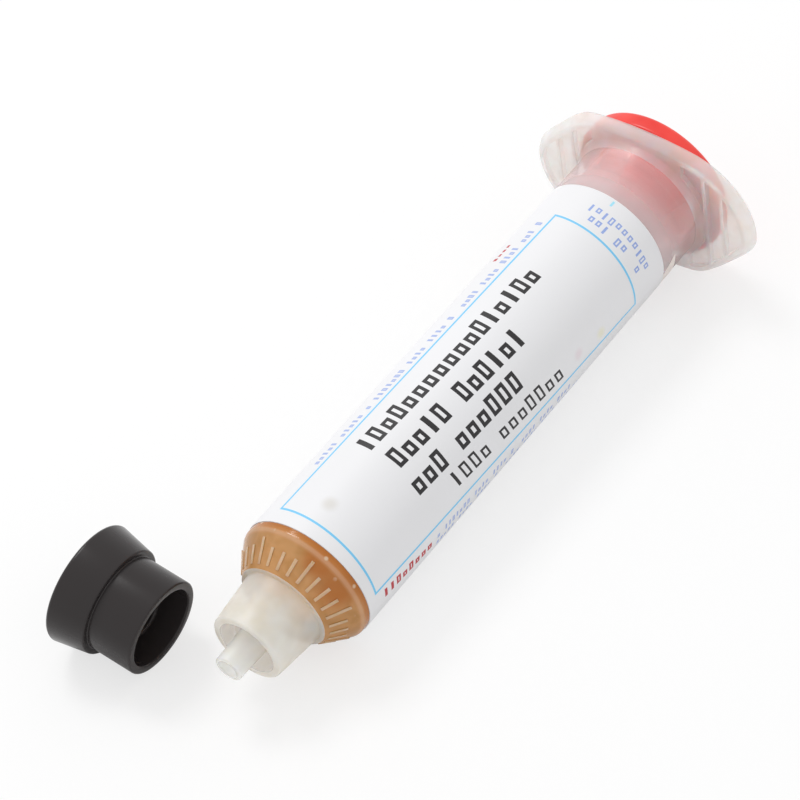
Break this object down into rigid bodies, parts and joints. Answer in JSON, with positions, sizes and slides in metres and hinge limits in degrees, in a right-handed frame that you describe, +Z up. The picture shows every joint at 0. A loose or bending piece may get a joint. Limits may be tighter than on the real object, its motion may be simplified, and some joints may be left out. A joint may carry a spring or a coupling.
{
  "type": "flux syringe",
  "caption": "Labelled dispensing syringe of soldering flux with a luer lock nozzle, oval flange, inner piston, end plug and a loose tip cap.",
  "frame": {"origin": "on the barrel's axis at the end of the luer tip", "axes": "+X along the barrel from the tip to the flange, +Z up from the surface that it lies on; the barrel's axis rises 1.59 degrees towards +X, as it lies"},
  "size_m": [0.1014, 0.0427, 0.0229],
  "materials": {
    "clear_polypropylene": "milky translucent, moulded, satin gloss",
    "label_film": "white gloss label with printed bars and a pale blue line",
    "flux_paste": "amber paste, wet gloss",
    "white_polyethylene": "moulded, waxy",
    "red_polyethylene": "moulded, soft gloss",
    "black_polypropylene": "moulded, satin"
  },
  "bodies": {
    "syringe": {"barrel": "clear_polypropylene", "label": "label_film", "flux_fill": "flux_paste"},
    "wiper": {"piston": "white_polyethylene"},
    "plug": {"end_plug": "red_polyethylene"},
    "cap": {"tip_cap": "black_polypropylene"}
  },
  "joints": [
    {"name": "piston_slide", "type": "slide", "parent": "syringe", "child": "wiper", "axis": [-0.9996, 0, -0.0278], "range_m": [-0.0055, 0.0495], "deforming": ["flux_fill"]},
    {"name": "plug_pull", "type": "slide", "parent": "syringe", "child": "plug", "axis": [0.9996, 0, 0.0278], "range_m": [0, 0.03]},
    {"name": "cap_lift", "type": "slide", "parent": "syringe", "child": "cap", "axis": [0, 0, 1], "range_m": [0, 0.03]}
  ]
}
